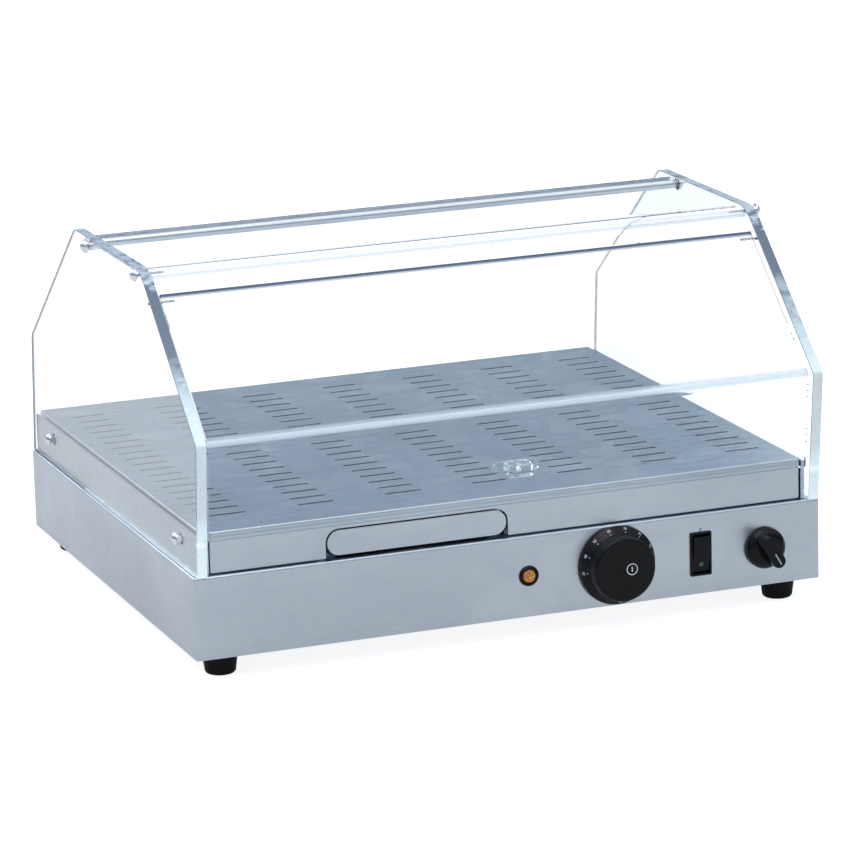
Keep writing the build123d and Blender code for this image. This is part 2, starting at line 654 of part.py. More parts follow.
with BuildPart() as crown_screws:
    for side in (-1, 1):
        add(dome(side, CROWN_SCREW, 5.7, 4.6, 0, 2.6))
        for radius, start, end in ((3.4, 0.1, 2.7), (1.6, -PANEL_T, 0.2), (1.1, -PANEL_T - 13, 0)):
            with BuildSketch(side_plane(side * (PANEL_OUT + start))):
                with Locations(CROWN_SCREW):
                    Circle(radius)
            extrude(amount=side * (end - start))
crown_screws.part.label = "crown_screws"
export_step(crown_screws.part, "parts/crown_screws.step")

with BuildPart() as side_screws:
    for side in (-1, 1):
        for at in SIDE_SCREWS:
            add(dome(side, at, 5.8, 3.8, 0, 0))
            with BuildSketch(side_plane(side * (RISER_OUT - RISER_T + 0.2))):
                with Locations(at):
                    Circle(2.5)
            extrude(amount=side * (PANEL_OUT - RISER_OUT + RISER_T))
side_screws.part.label = "side_screws"
export_step(side_screws.part, "parts/side_screws.step")

# ---------------------------------------------------------------- controls
with BuildPart() as thermostat_dial:
    with BuildSketch(turned_plane(*DIAL)):
        with BuildLine():
            Polyline((0, -1.2), (DIAL_R - 0.3, -1.2), (DIAL_R, -2), (DIAL_R, -3.8))
            Polyline((DIAL_R, -3.8), (30.8, -9.5), (29.6, -19.5))
            ThreePointArc((29.6, -19.5), (28.8, -21.1), (27, -DIAL_DEPTH))
            Polyline((27, -DIAL_DEPTH), (0, 0.6 - DIAL_DEPTH), (0, -1.2))
        make_face()
    revolve(axis=front_axis(*DIAL))
    with BuildSketch(front_plane(*DIAL)):
        Circle(SHAFT_R)
    extrude(amount=14, mode=Mode.SUBTRACT)
thermostat_dial.part.label = "thermostat_dial"
export_step(thermostat_dial.part, "parts/thermostat_dial.step")

with BuildPart() as selector_knob:
    with BuildSketch(turned_plane(*SELECTOR)):
        with BuildLine():
            Polyline((0, -1.2), (SELECTOR_R - 0.2, -1.2), (SELECTOR_R, -2), (SELECTOR_R, -4))
            ThreePointArc((SELECTOR_R, -4), (16.6, -8.2), (11, -10.5))
            Polyline((11, -10.5), (0, -10.5), (0, -1.2))
        make_face()
    revolve(axis=front_axis(*SELECTOR))
    with BuildSketch(front_plane(*SELECTOR, out=7)):
        SlotOverall(34, 14, rotation=-60)
    extrude(amount=SELECTOR_DEPTH - 7, taper=3)
    fillet(selector_knob.faces().sort_by(Axis.Y)[0].edges(), 1.6)
    with BuildSketch(front_plane(*SELECTOR)):
        Circle(SHAFT_R)
    extrude(amount=15, mode=Mode.SUBTRACT)
selector_knob.part.label = "selector_knob"
export_step(selector_knob.part, "parts/selector_knob.step")

for at, length, name in ((DIAL, 14, "thermostat_shaft"), (SELECTOR, 15, "selector_shaft")):
    with BuildPart() as shaft:
        with BuildSketch(front_plane(*at, out=-20)):
            Circle(SHAFT_R - 0.02)
        extrude(amount=20 + length - 0.2)
    shaft.part.label = name
    export_step(shaft.part, f"parts/{name}.step")

with BuildPart() as thermostat_body:
    with BuildSketch(front_plane(*DIAL, out=-SHEET - 0.2)):
        RectangleRounded(38, 34, 3)
    extrude(amount=-26)
    with BuildSketch(front_plane(*DIAL, out=-SHEET - 0.4)):
        Circle(SHAFT_COLLAR_R)
    extrude(amount=SHEET + 1)
    with BuildSketch(front_plane(*DIAL, out=1)):
        Circle(SHAFT_R + FIT)
    extrude(amount=-22, mode=Mode.SUBTRACT)
thermostat_body.part.label = "thermostat_body"
export_step(thermostat_body.part, "parts/thermostat_body.step")

with BuildPart() as selector_body:
    with BuildSketch(front_plane(*SELECTOR, out=-SHEET - 0.2)):
        Circle(17)
    extrude(amount=-28)
    with BuildSketch(front_plane(*SELECTOR, out=-SHEET - 0.4)):
        Circle(SHAFT_COLLAR_R)
    extrude(amount=SHEET + 1)
    with BuildSketch(front_plane(*SELECTOR, out=1)):
        Circle(SHAFT_R + FIT)
    extrude(amount=-22, mode=Mode.SUBTRACT)
selector_body.part.label = "selector_body"
export_step(selector_body.part, "parts/selector_body.step")

with BuildPart() as thermostat_bulb:
    body_top = DIAL[1] + 17.2
    bulb_z = BASE_TOP + 9
    with BuildLine() as capillary:
        FilletPolyline(
            (DIAL[0], CAPILLARY_Y, body_top),
            (DIAL[0], CAPILLARY_Y, bulb_z),
            (DIAL[0], -150, bulb_z),
            radius=8,
        )
    with BuildSketch(Plane(origin=(DIAL[0], CAPILLARY_Y, body_top), z_dir=(0, 0, 1))):
        Circle(1)
    sweep(path=capillary.line)
    with BuildSketch(Plane.XZ.offset(151)):
        with Locations((DIAL[0], bulb_z)):
            Circle(3)
    extrude(amount=-90)
    fillet(thermostat_bulb.faces().sort_by(Axis.Y)[-1].edges(), 2)
thermostat_bulb.part.label = "thermostat_bulb"
export_step(thermostat_bulb.part, "parts/thermostat_bulb.step")

with BuildPart() as rocker_housing:
    with BuildSketch(front_plane(*ROCKER)):
        RectangleRounded(ROCKER_W, ROCKER_H, 1.5)
    extrude(amount=1.8)
    fillet(rocker_housing.faces().sort_by(Axis.Y)[0].edges(), 0.7)
    with BuildSketch(front_plane(*ROCKER)):
        Rectangle(ROCKER_CUT_W - 0.4, ROCKER_CUT_H - 0.4)
    extrude(amount=-24)
    with BuildSketch(front_plane(*ROCKER, out=2)):
        Rectangle(ROCKER_WELL_W, ROCKER_WELL_H)
    extrude(amount=-16, mode=Mode.SUBTRACT)
rocker_housing.part.label = "rocker_housing"
export_step(rocker_housing.part, "parts/rocker_housing.step")

tip = ROCKER_WELL_H / 2 - 1.2
rocker_plane = front_plane(*ROCKER, out=ROCKER_PIVOT_OUT).rotated((ROCKER_TILT, 0, 0))
rocker_section = Plane(origin=rocker_plane.origin, x_dir=rocker_plane.y_dir, z_dir=(1, 0, 0))
with BuildPart() as rocker_button:
    with BuildSketch(rocker_section.offset(-8)):
        with BuildLine():
            Polyline((-tip, -3), (tip, -3), (tip, 4.4), (0, 5.6), (-tip, 4.4), close=True)
        make_face()
    extrude(amount=16)
    fillet(rocker_button.edges().filter_by(Axis.X).sort_by(Axis.Y)[:3], 0.6)
    with BuildSketch(rocker_plane.offset(3)):
        with Locations((0, -9)):
            Circle(2.3)
    extrude(amount=5, mode=Mode.SUBTRACT)
rocker_button.part.label = "rocker_button"
export_step(rocker_button.part, "parts/rocker_button.step")

with BuildPart() as rocker_lamp:
    with BuildSketch(rocker_plane.offset(3)):
        with Locations((0, -9)):
            Circle(2.25)
    extrude(amount=2.4)
rocker_lamp.part.label = "rocker_lamp"
export_step(rocker_lamp.part, "parts/rocker_lamp.step")

with BuildPart() as pilot_bezel:
    with BuildSketch(turned_plane(*PILOT)):
        with BuildLine():
            bore = PILOT_LENS_R + 0.1
            Polyline((bore, 22), (bore, -1.2), (6.6, -2), (8, -2), (PILOT_BEZEL_R, -0.8))
            Polyline((PILOT_BEZEL_R, -0.8), (PILOT_BEZEL_R, -0.1), (PILOT_BARREL_R, -0.1))
            Polyline((PILOT_BARREL_R, -0.1), (PILOT_BARREL_R, 22), (bore, 22))
        make_face()
    revolve(axis=front_axis(*PILOT))
pilot_bezel.part.label = "pilot_bezel"
export_step(pilot_bezel.part, "parts/pilot_bezel.step")

with BuildPart() as pilot_lens:
    with BuildSketch(front_plane(*PILOT, out=-4)):
        Circle(PILOT_LENS_R)
    extrude(amount=7.4)
    fillet(pilot_lens.edges().sort_by(Axis.Y)[0], 1.9)
pilot_lens.part.label = "pilot_lens"
export_step(pilot_lens.part, "parts/pilot_lens.step")

with BuildPart() as pilot_nut:
    with BuildSketch(front_plane(*PILOT, out=-SHEET - 0.2)):
        RegularPolygon(9.5, 6)
        Circle(PILOT_BARREL_R + FIT, mode=Mode.SUBTRACT)
    extrude(amount=-4)
pilot_nut.part.label = "pilot_nut"
export_step(pilot_nut.part, "parts/pilot_nut.step")

# ---------------------------------------------------------------- supply side
with BuildPart() as terminal_block:
    with BuildSketch(Plane.XY.offset(BOTTOM_Z + BOTTOM_T + 0.2)):
        with Locations((150, 150)):
            Rectangle(60, 22)
    extrude(amount=16)
    with BuildSketch(Plane.XY.offset(BOTTOM_Z + BOTTOM_T + 16.2)):
        with Locations((150, 150)):
            with GridLocations(14, 12, 4, 2):
                Circle(3)
    extrude(amount=-7, mode=Mode.SUBTRACT)
terminal_block.part.label = "terminal_block"
export_step(terminal_block.part, "parts/terminal_block.step")

with BuildPart() as cable_gland:
    with BuildSketch(Plane.XZ.offset(-REAR - 0.1)):
        with Locations(GLAND):
            RegularPolygon(12, 6)
    extrude(amount=-5)
    with BuildSketch(Plane.XZ.offset(-REAR - 5)):
        with Locations(GLAND):
            Circle(10.4)
    extrude(amount=-18)
    fillet(cable_gland.faces().sort_by(Axis.Y)[-1].edges(), 4)
    with BuildSketch(Plane.XZ.offset(-REAR - 1)):
        with Locations(GLAND):
            Circle(GLAND_THREAD_R)
    extrude(amount=13)
    with BuildSketch(Plane.XZ.offset(-REAR - 30)):
        with Locations(GLAND):
            Circle(GLAND_BORE_R)
    extrude(amount=50, mode=Mode.SUBTRACT)
cable_gland.part.label = "cable_gland"
export_step(cable_gland.part, "parts/cable_gland.step")

with BuildPart() as gland_nut:
    with BuildSketch(Plane.XZ.offset(-REAR + SHEET + 0.2)):
        with Locations(GLAND):
            RegularPolygon(11.5, 6)
            Circle(GLAND_THREAD_R + FIT, mode=Mode.SUBTRACT)
    extrude(amount=5)
gland_nut.part.label = "gland_nut"
export_step(gland_nut.part, "parts/gland_nut.step")
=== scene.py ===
"""Looks of the counter-top heated display.

Materials for every part, the printed marks on its controls, a pale floor, soft studio light and the
camera. Lengths are in metres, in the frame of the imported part.
"""

import json
import math

import bmesh
import bpy
from mathutils import Matrix, Vector


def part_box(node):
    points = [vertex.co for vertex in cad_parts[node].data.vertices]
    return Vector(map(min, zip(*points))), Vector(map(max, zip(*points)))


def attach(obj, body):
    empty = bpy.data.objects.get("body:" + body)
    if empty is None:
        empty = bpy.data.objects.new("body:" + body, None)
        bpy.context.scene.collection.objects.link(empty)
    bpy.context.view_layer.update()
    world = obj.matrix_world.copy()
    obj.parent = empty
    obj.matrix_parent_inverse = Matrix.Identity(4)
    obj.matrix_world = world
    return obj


MM = 0.001
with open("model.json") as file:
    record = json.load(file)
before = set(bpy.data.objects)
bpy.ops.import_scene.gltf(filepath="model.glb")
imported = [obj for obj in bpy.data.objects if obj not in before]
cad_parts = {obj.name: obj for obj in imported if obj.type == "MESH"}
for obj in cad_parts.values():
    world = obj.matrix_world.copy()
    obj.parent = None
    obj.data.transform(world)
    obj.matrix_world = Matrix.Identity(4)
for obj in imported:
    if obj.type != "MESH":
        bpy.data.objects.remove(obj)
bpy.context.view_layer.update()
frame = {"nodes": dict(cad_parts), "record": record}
NODES = frame["nodes"]

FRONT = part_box("base_top")[0].y  # the base's front face


# ---------------------------------------------------------------- node helpers
def node(tree, kind, **settings):
    made = tree.nodes.new(kind)
    for key, value in settings.items():
        setattr(made, key, value)
    return made


def principled(name, **sockets):
    """A material with one Principled shader, with these values on its sockets."""
    mat = bpy.data.materials.new(name)
    mat.use_nodes = True
    tree = mat.node_tree
    tree.nodes.clear()
    out = node(tree, "ShaderNodeOutputMaterial")
    shader = node(tree, "ShaderNodeBsdfPrincipled")
    tree.links.new(shader.outputs["BSDF"], out.inputs["Surface"])
    for key, value in sockets.items():
        socket = shader.inputs[key.replace("_", " ").title().replace("Ior", "IOR")]
        socket.default_value = (*value, 1.0) if isinstance(value, tuple) else value
    return mat, tree, shader


def coordinates(tree, output="Object"):
    return node(tree, "ShaderNodeTexCoord").outputs[output]


def noise(tree, scale, stretch=(1, 1, 1), detail=3.0, distortion=0.0):
    """Noise over the part, SCALE cells to the metre, made finer along each axis by STRETCH."""
    mapping = node(tree, "ShaderNodeMapping")
    mapping.inputs["Scale"].default_value = stretch
    texture = node(tree, "ShaderNodeTexNoise")
    texture.inputs["Scale"].default_value = scale
    texture.inputs["Detail"].default_value = detail
    texture.inputs["Distortion"].default_value = distortion
    tree.links.new(coordinates(tree), mapping.inputs["Vector"])
    tree.links.new(mapping.outputs["Vector"], texture.inputs["Vector"])
    return texture.outputs["Fac"]


def ramp(tree, value, stops):
    """Colour or grey by VALUE. STOPS are (place, colour or number)."""
    made = node(tree, "ShaderNodeValToRGB")
    elements = made.color_ramp.elements
    while len(elements) < len(stops):
        elements.new(0.5)
    for element, (place, colour) in zip(elements, stops):
        element.position = place
        element.color = (*(colour if isinstance(colour, tuple) else [colour] * 3), 1.0)
    tree.links.new(value, made.inputs["Fac"])
    return made.outputs["Color"]


def spread(tree, value, low, high, start=0.3, end=0.7):
    """VALUE's usual range START to END, spread over LOW to HIGH."""
    made = node(tree, "ShaderNodeMapRange")
    for name, number in zip(("From Min", "From Max", "To Min", "To Max"), (start, end, low, high)):
        made.inputs[name].default_value = number
    tree.links.new(value, made.inputs["Value"])
    return made.outputs["Result"]


def calculate(tree, operation, a, b=None, c=None):
    made = node(tree, "ShaderNodeMath", operation=operation)
    for socket, value in zip(made.inputs, (a, b, c)):
        if isinstance(value, (int, float)):
            socket.default_value = value
        elif value is not None:
            tree.links.new(value, socket)
    return made.outputs["Value"]


def blend(tree, factor, a, b):
    """A where FACTOR is 0 and B where it is 1."""
    made = node(tree, "ShaderNodeMix", data_type="FLOAT")
    for socket, value in zip(made.inputs[:1] + made.inputs[2:4], (factor, a, b)):
        if isinstance(value, (int, float)):
            socket.default_value = value
        else:
            tree.links.new(value, socket)
    return made.outputs[0]


def bump(tree, shader, height, depth, strength=1.0):
    """Relief of the shader's surface, HEIGHT from 0 to 1 standing for DEPTH."""
    made = node(tree, "ShaderNodeBump")
    made.inputs["Strength"].default_value = strength
    made.inputs["Distance"].default_value = depth
    tree.links.new(height, made.inputs["Height"])
    tree.links.new(made.outputs["Normal"], shader.inputs["Normal"])


def along(tree, axis, of="Object"):
    """How far along AXIS a point lies, or with OF "Normal" how much its face looks that way."""
    split = node(tree, "ShaderNodeSeparateXYZ")
    tree.links.new(coordinates(tree, of), split.inputs["Vector"])
    return split.outputs[axis]


def side_facing(tree):
    """1 on faces that look along X, 0 on the others."""
    return spread(tree, calculate(tree, "ABSOLUTE", along(tree, "X", "Normal")), 0, 1, 0.6, 0.8)


def zone(tree, axis, start, end, soft=0.6 * MM):
    """1 between START and END on AXIS, 0 outside, with a SOFT border."""
    entered = spread(tree, along(tree, axis), 0, 1, start - soft, start + soft)
    left = spread(tree, along(tree, axis), 1, 0, end - soft, end + soft)
    return calculate(tree, "MULTIPLY", entered, left)


def blend_colour(tree, factor, a, b):
    made = node(tree, "ShaderNodeMix", data_type="RGBA")
    colours = [socket for socket in made.inputs if socket.type == "RGBA"]
    for socket, value in zip([made.inputs[0]] + colours, (factor, a, b)):
        if isinstance(value, tuple):
            socket.default_value = (*value, 1.0)
        else:
            tree.links.new(value, socket)
    return next(socket for socket in made.outputs if socket.type == "RGBA")


# ---------------------------------------------------------------- materials
ACROSS_HAIR, ALONG_HAIR = 1500, 6  # cells to the metre


def brushed_steel(name, dark, light, rough=0.3, hair_depth=0.02 * MM):
    """Brushed sheet: hairlines along X, or Y on the sides, over a cloudy, faintly smudged tone."""
    mat, tree, shader = principled(name, metallic=1.0)
    along_x = noise(tree, 1.0, (ALONG_HAIR, ACROSS_HAIR, ACROSS_HAIR), 4.0)
    along_y = noise(tree, 1.0, (ACROSS_HAIR, ALONG_HAIR, ACROSS_HAIR), 4.0)
    hair = blend(tree, side_facing(tree), along_x, along_y)
    cloud = noise(tree, 7.0, (0.6, 1, 1.6), 5.0, 0.6)
    smudge = noise(tree, 26.0, detail=2.0, distortion=1.2)
    tone = calculate(tree, "MULTIPLY_ADD", hair, 0.35, cloud)
    tree.links.new(ramp(tree, tone, ((0.45, dark), (0.85, light))), shader.inputs["Base Color"])
    base_rough = spread(tree, hair, rough - 0.05, rough + 0.05)
    smeared = spread(tree, smudge, 0.0, 0.09, 0.5, 0.75)
    tree.links.new(calculate(tree, "ADD", base_rough, smeared), shader.inputs["Roughness"])
    bump(tree, shader, hair, hair_depth)
    return mat


def galvanised(name):
    """Zinc-coated sheet with its patchwork of crystals."""
    mat, tree, shader = principled(name, metallic=1.0)
    cells = node(tree, "ShaderNodeTexVoronoi")
    cells.inputs["Scale"].default_value = 160.0
    tree.links.new(coordinates(tree), cells.inputs["Vector"])
    grey = node(tree, "ShaderNodeRGBToBW")
    tree.links.new(cells.outputs["Color"], grey.inputs["Color"])
    crystal = grey.outputs["Val"]
    colour = ramp(tree, crystal, ((0.1, (0.42, 0.44, 0.46)), (0.9, (0.58, 0.60, 0.62))))
    tree.links.new(colour, shader.inputs["Base Color"])
    tree.links.new(spread(tree, crystal, 0.35, 0.55, 0.1, 0.9), shader.inputs["Roughness"])
    bump(tree, shader, noise(tree, 900.0), 0.02 * MM, 0.4)
    return mat


CLEAR = (0.97, 0.985, 0.99)
BODY_TINT, BODY_DENSITY = (0.30, 0.72, 0.86, 1.0), 1.6  # colour seen through the sheet's length


def clear_acrylic(name, ior=1.49):
    """Clear sheet: polished faces with a faint film of wear, and a blue-green body."""
    mat, tree, shader = principled(name, base_color=CLEAR, transmission_weight=1.0, ior=ior)
    film = noise(tree, 9.0, detail=4.0)
    tree.links.new(spread(tree, film, 0.0, 0.025, 0.4, 0.75), shader.inputs["Roughness"])
    bump(tree, shader, noise(tree, 14.0, detail=1.0), 0.06 * MM, 0.5)
    tint = node(tree, "ShaderNodeVolumeAbsorption")
    tint.inputs["Color"].default_value = BODY_TINT
    tint.inputs["Density"].default_value = BODY_DENSITY
    output = next(n for n in tree.nodes if n.type == "OUTPUT_MATERIAL")
    tree.links.new(tint.outputs["Volume"], output.inputs["Volume"])
    return mat, tree, shader


def frost(tree, shader, where, colour, clarity, rough):
    """Hazes a clear sheet WHERE it was cut or heated, keeping CLARITY of its transmission, and
    paints it COLOUR there, the callers' painted shade and highlight.
    """
    for name, mix, clear, hazed in (
        ("Base Color", blend_colour, CLEAR, colour),
        ("Transmission Weight", blend, 1.0, clarity),
        ("Roughness", blend, 0.0, rough),
    ):
        socket = shader.inputs[name]
        before = socket.links[0].from_socket if socket.links else clear
        tree.links.new(mix(tree, where, before, hazed), socket)


PANEL_LOW, PANEL_HIGH = 95 * MM, 345 * MM
REAR_EDGES = 80 * MM, 90 * MM  # where the front edges' painted shades give way to the rear ones'


def clear_side(name, rear_clarity):
    """Side panel: its sawn edges are hazy and blotchy, and painted: pale low down and dark slate
    shade near the top of the front slope, grey-blue shade at the rear, with a painted glow on the
    lower front edges.
    """
    mat, tree, shader = clear_acrylic(name)
    cut = calculate(tree, "SUBTRACT", 1, side_facing(tree))
    height = spread(tree, along(tree, "Z"), 0, 1, PANEL_LOW, PANEL_HIGH)
    blotches = noise(tree, 60.0, (1, 1, 1.6), 4.0, 0.8)
    # painted light and shade on the front edges by height: pale low down, dark slate shade near the
    # top of the front slope
    front = ramp(
        tree,
        calculate(tree, "ADD", height, spread(tree, blotches, -0.06, 0.06)),
        (
            (0.00, (0.92, 0.97, 1.00)),
            (0.50, (0.86, 0.95, 0.98)),
            (0.66, (0.56, 0.70, 0.78)),
            (0.76, (0.13, 0.19, 0.27)),
            (0.94, (0.11, 0.16, 0.24)),
            (0.985, (0.60, 0.74, 0.85)),
        ),
    )
    behind = spread(tree, along(tree, "Y"), 0, 1, *REAR_EDGES)
    # the rear edges get an even grey-blue painted shade
    tone = blend_colour(tree, behind, front, (0.42, 0.48, 0.60))
    front_clarity = ramp(
        tree, height, ((0.0, 0.6), (0.6, 0.5), (0.76, 0.08), (0.94, 0.08), (0.985, 0.4))
    )
    clarity = blend(tree, behind, front_clarity, rear_clarity)
    rough = spread(tree, blotches, 0.12, 0.38)
    frost(tree, shader, cut, tone, clarity, rough)
    # painted glow on the lower front edges, standing for light piped through the sheet and leaving
    # by them
    black = (0.0, 0.0, 0.0)
    painted_edge_glow = ramp(
        tree, height, ((0.0, (0.26, 0.29, 0.30)), (0.55, (0.20, 0.24, 0.26)), (0.76, black))
    )
    shader.inputs["Emission Strength"].default_value = 1.0
    shown = calculate(tree, "MULTIPLY", cut, calculate(tree, "SUBTRACT", 1, behind))
    tree.links.new(blend_colour(tree, shown, black, painted_edge_glow), shader.inputs["Emission Color"])
    return mat


def clear_top(name, bend_at, lip_at):
    """Top panel: hazed where it was bent, with painted grey shade in that bend and a greyer painted
    shade in its rear lip.
    """
    mat, tree, shader = clear_acrylic(name, 1.05)
    # painted grey shade in the front bend and the rear lip, over the haze
    frost(tree, shader, zone(tree, "Y", *bend_at), (0.66, 0.71, 0.77), 0.6, 0.2)
    frost(tree, shader, zone(tree, "Y", *lip_at), (0.56, 0.62, 0.70), 0.5, 0.2)
    return mat


def clear_flap(name, knee_at, top_at):
    """Front flap: a painted whitish highlight line in its bend, and painted dark shade on its
    polished upper edge.
    """
    mat, tree, shader = clear_acrylic(name, 1.22)
    # painted whitish highlight line along the knee bend
    frost(tree, shader, zone(tree, "Z", *knee_at), (0.82, 0.90, 0.98), 0.45, 0.2)
    low, middle, high = top_at
    crisp = 0.3 * MM
    # painted dark shade in two bands along the polished upper edge
    frost(tree, shader, zone(tree, "Z", low, middle, crisp), (0.36, 0.42, 0.52), 0.4, 0.2)
    frost(tree, shader, zone(tree, "Z", middle, high, crisp), (0.10, 0.14, 0.21), 0.2, 0.2)
    return mat


def polished_metal(name, colour, rough=0.07):
    """Chrome or bare copper, dulled in patches by handling."""
    mat, tree, shader = principled(name, base_color=colour, metallic=1.0)
    wear = noise(tree, 180.0, detail=4.0)
    tree.links.new(spread(tree, wear, rough, rough + 0.12), shader.inputs["Roughness"])
    bump(tree, shader, noise(tree, 700.0), 0.01 * MM, 0.4)
    return mat


def moulded(name, dark, light, rough, gloss=0.5):
    """Moulded plastic or rubber: a fine skin, with a slightly uneven tone and gloss."""
    mat, tree, shader = principled(name, specular_ior_level=gloss)
    cloud = noise(tree, 60.0, detail=4.0)
    tree.links.new(ramp(tree, cloud, ((0.3, dark), (0.7, light))), shader.inputs["Base Color"])
    tree.links.new(spread(tree, cloud, rough - 0.05, rough + 0.08), shader.inputs["Roughness"])
    bump(tree, shader, noise(tree, 900.0, detail=2.0), 0.03 * MM, 0.5)
    return mat


def lens(name, dark, light, glow):
    """Translucent lens with moulded facets inside and a faint glow."""
    mat, tree, shader = principled(
        name, roughness=0.16, transmission_weight=0.35, emission_strength=glow, coat_weight=0.6
    )
    facets = node(tree, "ShaderNodeTexVoronoi", feature="F1", distance="MANHATTAN")
    facets.inputs["Scale"].default_value = 520.0
    tree.links.new(coordinates(tree), facets.inputs["Vector"])
    colour = ramp(tree, facets.outputs["Distance"], ((0.1, light), (0.8, dark)))
    tree.links.new(colour, shader.inputs["Base Color"])
    tree.links.new(colour, shader.inputs["Emission Color"])
    bump(tree, shader, facets.outputs["Distance"], 0.3 * MM, 0.6)
    return mat


def oxidised(name):
    """The heater's sheath: dark, with straw and blue tints where it has run hot."""
    mat, tree, shader = principled(name, metallic=0.7)
    heat = noise(tree, 12.0, detail=5.0)
    cool, straw, blue = (0.05, 0.05, 0.06), (0.11, 0.09, 0.07), (0.09, 0.10, 0.14)
    colour = ramp(tree, heat, ((0.3, cool), (0.55, straw), (0.75, blue)))
    tree.links.new(colour, shader.inputs["Base Color"])
    tree.links.new(spread(tree, heat, 0.45, 0.65), shader.inputs["Roughness"])
    bump(tree, shader, noise(tree, 600.0), 0.03 * MM)
    return mat


MATERIALS = {
    "stainless": brushed_steel("stainless", (0.50, 0.56, 0.63), (0.60, 0.66, 0.73)),
    "galvanised": galvanised("galvanised"),
    "clear": clear_acrylic("clear")[0],
    "bright": polished_metal("bright", (0.80, 0.82, 0.85)),
    "rubber": moulded("rubber", (0.003, 0.003, 0.004), (0.006, 0.006, 0.007), 0.55, gloss=0.15),
    "black": moulded("black", (0.002, 0.002, 0.003), (0.004, 0.004, 0.006), 0.24, gloss=0.2),
    "amber": lens("amber", (0.30, 0.10, 0.01), (0.80, 0.38, 0.05), 0.35),
    "green": lens("green", (0.00, 0.05, 0.03), (0.01, 0.16, 0.09), 0.10),
    "ceramic": moulded("ceramic", (0.72, 0.69, 0.62), (0.80, 0.77, 0.70), 0.45),
    "element": oxidised("element"),
    "copper": polished_metal("copper", (0.78, 0.42, 0.25), 0.22),
    "grey_plastic": moulded("grey_plastic", (0.045, 0.047, 0.05), (0.07, 0.072, 0.075), 0.45),
}
for part in frame["record"]["subparts"]:
    NODES[part["node"]].data.materials.clear()
    NODES[part["node"]].data.materials.append(MATERIALS[part["material_slot"]])
FLAP_KNEE = 214 * MM, 219 * MM
flap_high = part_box("front_flap")[1].z
FLAP_TOP = flap_high - 3.4 * MM, flap_high - 2.4 * MM, flap_high
top_front, top_rear = (corner.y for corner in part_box("top_panel"))
TOP_BEND = top_front + 17 * MM, top_front + 22 * MM
TOP_LIP = top_rear - 13 * MM, top_rear
SHEETS = {
    "side_panel_left": clear_side("clear_side_left", 0.2),
    "side_panel_right": clear_side("clear_side_right", 0.96),
    "top_panel": clear_top("clear_top", TOP_BEND, TOP_LIP),
    "front_flap": clear_flap("clear_flap", FLAP_KNEE, FLAP_TOP),
}
for name, material in SHEETS.items():
    NODES[name].data.materials[0] = material
PRINT_WHITE = moulded("print_white", (0.62, 0.65, 0.70), (0.78, 0.80, 0.84), 0.5)
PRINT_BLUE = moulded("print_blue", (0.30, 0.40, 0.60), (0.42, 0.52, 0.70), 0.45)
PRINT_BLACK = moulded("print_black", (0.02, 0.02, 0.02), (0.03, 0.03, 0.03), 0.5)


# ---------------------------------------------------------------- printed marks
def printed(name, mesh, place, body, mat):
    """A mark whose flat mesh is carried to PLACE(across, up, lift) and rides on BODY."""
    for vertex in mesh.vertices:
        vertex.co = place(*vertex.co)
    mesh.materials.clear()
    mesh.materials.append(mat)
    mark = bpy.data.objects.new(name, mesh)
    bpy.context.scene.collection.objects.link(mark)
    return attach(mark, body)


def lettering(name, text, size, thickness):
    """Flat mesh of a number, centred on its own middle."""
    curve = bpy.data.curves.new(name, "FONT")
    curve.body = text
    curve.size = size
    curve.align_x, curve.align_y = "CENTER", "CENTER"
    curve.extrude = thickness / 2
    shown = bpy.data.objects.new(name, curve)
    bpy.context.scene.collection.objects.link(shown)
    evaluated = shown.evaluated_get(bpy.context.evaluated_depsgraph_get())
    mesh = bpy.data.meshes.new_from_object(evaluated)
    bpy.data.objects.remove(shown)
    return mesh


def flat_shape(name, inner, outer, thickness):
    """Closed band between the matching loops INNER and OUTER, such as a ring's two circles."""
    made = bmesh.new()
    half = thickness / 2
    rows = [
        [made.verts.new((x, y, z)) for x, y in loop]
        for loop, z in ((inner, -half), (outer, -half), (outer, half), (inner, half))
    ]
    count = len(inner)
    for row, after in zip(rows, rows[1:] + rows[:1]):
        for i in range(count):
            j = (i + 1) % count
            made.faces.new((row[i], after[i], after[j], row[j]))
    bmesh.ops.recalc_face_normals(made, faces=made.faces[:])
    mesh = bpy.data.meshes.new(name)
    made.to_mesh(mesh)
    made.free()
    return mesh


def circle(radius, count=48):
    turns = [2 * math.pi * i / count for i in range(count)]
    return [(radius * math.cos(t), radius * math.sin(t)) for t in turns]


def bar(length, width, scale=1.0):
    x, y = length / 2 * scale, width / 2 * scale
    return [(-x, -y), (x, -y), (x, y), (-x, y)]


def centre_of(name):
    low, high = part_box(name)
    return (low + high) / 2


INK = 0.08 * MM
DIAL_CENTRE = centre_of("thermostat_dial")
DIAL_RIM_R, DIAL_RIM_OUT = 36.5 * MM, 3.8 * MM  # where the dial's 45 degree skirt starts
HUB_MIDDLE_OUT, HUB_RISE, HUB_R = 21.2 * MM, 0.6 * MM, 27 * MM  # its dished face


def on_skirt(turn, radius):
    """Places a flat mark on the dial's skirt, at TURN degrees from +X and RADIUS from the axis."""

    def place(across, up, lift):
        step = math.sqrt(0.5)
        r = radius + (up + lift) * step
        out = DIAL_RIM_OUT + DIAL_RIM_R - radius + (lift - up) * step
        angle = math.radians(turn) - across / radius
        x, z = r * math.cos(angle), r * math.sin(angle)
        return (DIAL_CENTRE.x + x, FRONT - out, DIAL_CENTRE.z + z)

    return place


def on_hub(offset):
    """Places a flat mark on the hub's dished face, OFFSET to the right of its axis."""

    def place(across, up, lift):
        x = offset + across
        out = HUB_MIDDLE_OUT + HUB_RISE * math.hypot(x, up) / HUB_R + lift
        return (DIAL_CENTRE.x + x, FRONT - out, DIAL_CENTRE.z + up)

    return place


